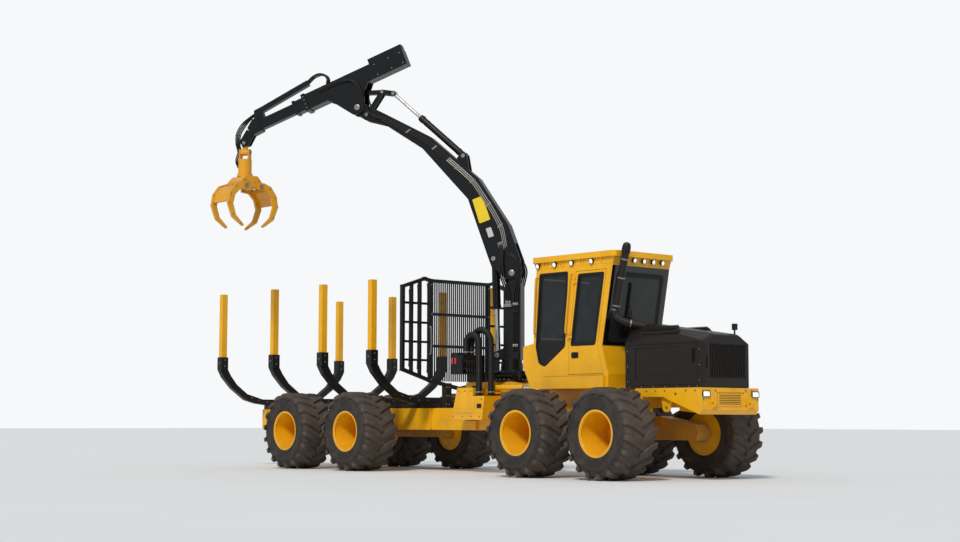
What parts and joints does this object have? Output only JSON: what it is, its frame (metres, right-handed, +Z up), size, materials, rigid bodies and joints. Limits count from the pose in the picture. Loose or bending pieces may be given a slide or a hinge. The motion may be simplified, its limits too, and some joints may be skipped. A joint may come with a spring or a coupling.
{
  "type": "forestry forwarder",
  "caption": "Articulated log forwarder on bogie wheels: front hood and cab, rear log bunk with stakes and gate, knuckle-boom crane with telescoping stick and log grapple.",
  "frame": {"origin": "on the ground, below the middle of the whole machine's box", "axes": "+X forward, +Y to the left, +Z up"},
  "size_m": [12.8118, 5.1628, 8.0778],
  "materials": {
    "yellow_paint": "gloss yellow paint, dusty",
    "black_paint": "semi-gloss black paint",
    "hood_brown": "semi-gloss very dark brown paint",
    "tyre": "dusty rubber",
    "rod_steel": "polished",
    "glass": "tinted",
    "lamp_white": "clear lens, lit",
    "engine_grey": "matte",
    "seat_black": "upholstered, matte"
  },
  "bodies": {
    "rear_machine": {"rear_frame": "yellow_paint", "rear_axle": "yellow_paint", "side_tanks": "yellow_paint", "gate": "black_paint", "bunk": "black_paint", "stakes": "yellow_paint", "crane_base": "black_paint", "valve_bank": "black_paint"},
    "front_machine": {"front_frame": "yellow_paint", "front_axle": "yellow_paint", "bumper": "yellow_paint", "hood": "hood_brown", "engine": "engine_grey", "intake": "black_paint", "cab": "yellow_paint", "roof": "yellow_paint", "lamps": "lamp_white", "cab_glass": "glass", "seat": "seat_black"},
    "steer_case_r": {"steer_barrel_r": "yellow_paint"},
    "steer_case_l": {"steer_barrel_l": "yellow_paint"},
    "steer_ram_r": {"steer_rod_r": "rod_steel"},
    "steer_ram_l": {"steer_rod_l": "rod_steel"},
    "nose_door": {"grille_door": "hood_brown"},
    "cab_door": {"door": "yellow_paint", "door_glass": "glass"},
    "slew_column": {"column": "black_paint"},
    "lift_case": {"lift_barrel": "black_paint"},
    "lift_ram": {"lift_rod": "rod_steel"},
    "main_boom": {"boom": "black_paint"},
    "stick_case": {"stick_barrel": "black_paint"},
    "stick_ram": {"stick_rod": "rod_steel"},
    "rocker_arm": {"rocker": "black_paint"},
    "link_arm": {"stick_link": "black_paint"},
    "stick_box": {"stick": "black_paint"},
    "first_extension": {"extension_1": "black_paint"},
    "second_extension": {"extension_2": "black_paint"},
    "hanger_link": {"hanger": "yellow_paint"},
    "rotator_housing": {"rotator": "yellow_paint"},
    "grapple": {"grapple_frame": "yellow_paint"},
    "right_jaw": {"jaw_r": "yellow_paint"},
    "left_jaw": {"jaw_l": "yellow_paint"},
    "wheel_1r": {"tyre_1r": "tyre", "rim_1r": "yellow_paint"},
    "wheel_1l": {"tyre_1l": "tyre", "rim_1l": "yellow_paint"},
    "wheel_2r": {"tyre_2r": "tyre", "rim_2r": "yellow_paint"},
    "wheel_2l": {"tyre_2l": "tyre", "rim_2l": "yellow_paint"},
    "wheel_3r": {"tyre_3r": "tyre", "rim_3r": "yellow_paint"},
    "wheel_3l": {"tyre_3l": "tyre", "rim_3l": "yellow_paint"},
    "wheel_4r": {"tyre_4r": "tyre", "rim_4r": "yellow_paint"},
    "wheel_4l": {"tyre_4l": "tyre", "rim_4l": "yellow_paint"}
  },
  "joints": [
    {"name": "steering", "type": "hinge", "parent": "rear_machine", "child": "front_machine", "pos_m": [1.824, 0.915, 1.05], "axis": [0, 0, 1], "range_deg": [-38, 38]},
    {"name": "steer_cylinder_r", "type": "hinge", "parent": "rear_machine", "child": "steer_case_r", "pos_m": [1.224, 0.415, 1.55], "axis": [0, 0, 1], "range_deg": [-14.66, 14.66]},
    {"name": "steer_rod_slide_r", "type": "slide", "parent": "steer_case_r", "child": "steer_ram_r", "axis": [0.9871, 0.1598, 0], "range_m": [-0.2651, 0.2651]},
    {"name": "steer_cylinder_l", "type": "hinge", "parent": "rear_machine", "child": "steer_case_l", "pos_m": [1.224, 1.415, 1.55], "axis": [0, 0, 1], "range_deg": [-14.66, 14.66]},
    {"name": "steer_rod_slide_l", "type": "slide", "parent": "steer_case_l", "child": "steer_ram_l", "axis": [0.9871, -0.1598, 0], "range_m": [-0.2651, 0.2651]},
    {"name": "wheel_1r_spin", "type": "hinge", "parent": "front_machine", "child": "wheel_1r", "pos_m": [4.894, -0.379, 0.75], "axis": [0, 1, 0], "continuous": true},
    {"name": "wheel_1l_spin", "type": "hinge", "parent": "front_machine", "child": "wheel_1l", "pos_m": [4.894, 2.209, 0.75], "axis": [0, 1, 0], "continuous": true},
    {"name": "wheel_2r_spin", "type": "hinge", "parent": "front_machine", "child": "wheel_2r", "pos_m": [2.994, -0.379, 0.75], "axis": [0, 1, 0], "continuous": true},
    {"name": "wheel_2l_spin", "type": "hinge", "parent": "front_machine", "child": "wheel_2l", "pos_m": [2.994, 2.209, 0.75], "axis": [0, 1, 0], "continuous": true},
    {"name": "wheel_3r_spin", "type": "hinge", "parent": "rear_machine", "child": "wheel_3r", "pos_m": [-1.796, -0.379, 0.75], "axis": [0, 1, 0], "continuous": true},
    {"name": "wheel_3l_spin", "type": "hinge", "parent": "rear_machine", "child": "wheel_3l", "pos_m": [-1.796, 2.209, 0.75], "axis": [0, 1, 0], "continuous": true},
    {"name": "wheel_4r_spin", "type": "hinge", "parent": "rear_machine", "child": "wheel_4r", "pos_m": [-3.796, -0.379, 0.75], "axis": [0, 1, 0], "continuous": true},
    {"name": "wheel_4l_spin", "type": "hinge", "parent": "rear_machine", "child": "wheel_4l", "pos_m": [-3.796, 2.209, 0.75], "axis": [0, 1, 0], "continuous": true},
    {"name": "cab_door_hinge", "type": "hinge", "parent": "front_machine", "child": "cab_door", "pos_m": [3.41644, 0.197, 2.85801], "axis": [-0.1457, 0, -0.9893], "range_deg": [0, 80]},
    {"name": "grille_door_hinge", "type": "hinge", "parent": "front_machine", "child": "nose_door", "pos_m": [6.184, 1.478, 1.925], "axis": [0, 0, 1], "range_deg": [0, 100]},
    {"name": "slew", "type": "hinge", "parent": "rear_machine", "child": "slew_column", "pos_m": [1.114, 0.915, 2.005], "axis": [0, 0, 1], "range_deg": [-190, 150]},
    {"name": "boom_lift", "type": "hinge", "parent": "slew_column", "child": "main_boom", "pos_m": [1.13916, 0.93134, 3.66], "axis": [-0.5446, 0.8387, 0], "range_deg": [-18, 28]},
    {"name": "lift_cylinder", "type": "hinge", "parent": "main_boom", "child": "lift_case", "pos_m": [0.84982, 0.74344, 3.93], "axis": [-0.5446, 0.8387, 0], "range_deg": [-24.25, 15.95]},
    {"name": "lift_rod_slide", "type": "slide", "parent": "lift_case", "child": "lift_ram", "axis": [0.025, 0.0162, -0.9996], "range_m": [-0.1006, 0.1538]},
    {"name": "stick_fold", "type": "hinge", "parent": "main_boom", "child": "stick_box", "pos_m": [-1.4104, -0.72436, 6.89], "axis": [-0.5446, 0.8387, 0], "range_deg": [-12, 45]},
    {"name": "rocker_pivot", "type": "hinge", "parent": "main_boom", "child": "rocker_arm", "pos_m": [-1.25944, -0.62633, 6.75], "axis": [-0.5446, 0.8387, 0], "range_deg": [-9.52, 32.94]},
    {"name": "link_pivot", "type": "hinge", "parent": "rocker_arm", "child": "link_arm", "pos_m": [-1.01622, -0.46838, 7.18], "axis": [-0.5446, 0.8387, 0], "range_deg": [-16.04, 5.01]},
    {"name": "stick_cylinder", "type": "hinge", "parent": "main_boom", "child": "stick_case", "pos_m": [0.34242, 0.41393, 5.88], "axis": [-0.5446, 0.8387, 0], "range_deg": [-5.76, 2.27]},
    {"name": "stick_rod_slide", "type": "slide", "parent": "stick_case", "child": "stick_ram", "axis": [-0.6234, -0.4048, 0.669], "range_m": [-0.3275, 0.091]},
    {"name": "telescope", "type": "slide", "parent": "stick_box", "child": "first_extension", "axis": [-0.7803, -0.5067, -0.3665], "range_m": [0, 0.9]},
    {"name": "telescope_2", "type": "slide", "parent": "first_extension", "child": "second_extension", "axis": [-0.7803, -0.5067, -0.3665], "range_m": [0, 0.9]},
    {"name": "hanger_swing", "type": "hinge", "parent": "second_extension", "child": "hanger_link", "pos_m": [-3.38924, -2.00944, 6.32062], "axis": [-0.5446, 0.8387, 0], "range_deg": [-60, 40]},
    {"name": "grapple_sway", "type": "hinge", "parent": "hanger_link", "child": "rotator_housing", "pos_m": [-3.38924, -2.00944, 6.14062], "axis": [-0.8387, -0.5446, 0], "range_deg": [-40, 40]},
    {"name": "grapple_turn", "type": "hinge", "parent": "rotator_housing", "child": "grapple", "pos_m": [-3.38924, -2.00944, 5.72062], "axis": [0, 0, 1], "continuous": true},
    {"name": "jaw_r_open", "type": "hinge", "parent": "grapple", "child": "right_jaw", "pos_m": [-3.38924, -2.17944, 5.46062], "axis": [-1, 0, 0], "range_deg": [-12, 55]},
    {"name": "jaw_l_open", "type": "hinge", "parent": "grapple", "child": "left_jaw", "pos_m": [-3.38924, -1.83944, 5.46062], "axis": [1, 0, 0], "range_deg": [-12, 55]}
  ],
  "couplings": [
    {"joint": "steer_cylinder_r", "follows": "steering", "ratio": 0.35956},
    {"joint": "steer_rod_slide_r", "follows": "steering", "m_per_rad": 0.39219},
    {"joint": "steer_cylinder_l", "follows": "steering", "ratio": 0.35956},
    {"joint": "steer_rod_slide_l", "follows": "steering", "m_per_rad": -0.39219},
    {"joint": "lift_cylinder", "follows": "boom_lift", "ratio": -0.8304},
    {"joint": "lift_rod_slide", "follows": "boom_lift", "m_per_rad": 0.30439},
    {"joint": "rocker_pivot", "follows": "stick_fold", "ratio": 0.70966},
    {"joint": "link_pivot", "follows": "stick_fold", "ratio": -0.33414},
    {"joint": "stick_cylinder", "follows": "stick_fold", "ratio": -0.10582},
    {"joint": "stick_rod_slide", "follows": "stick_fold", "m_per_rad": -0.41067},
    {"joint": "telescope_2", "follows": "telescope", "ratio": 1},
    {"joint": "jaw_l_open", "follows": "jaw_r_open", "ratio": 1}
  ]
}
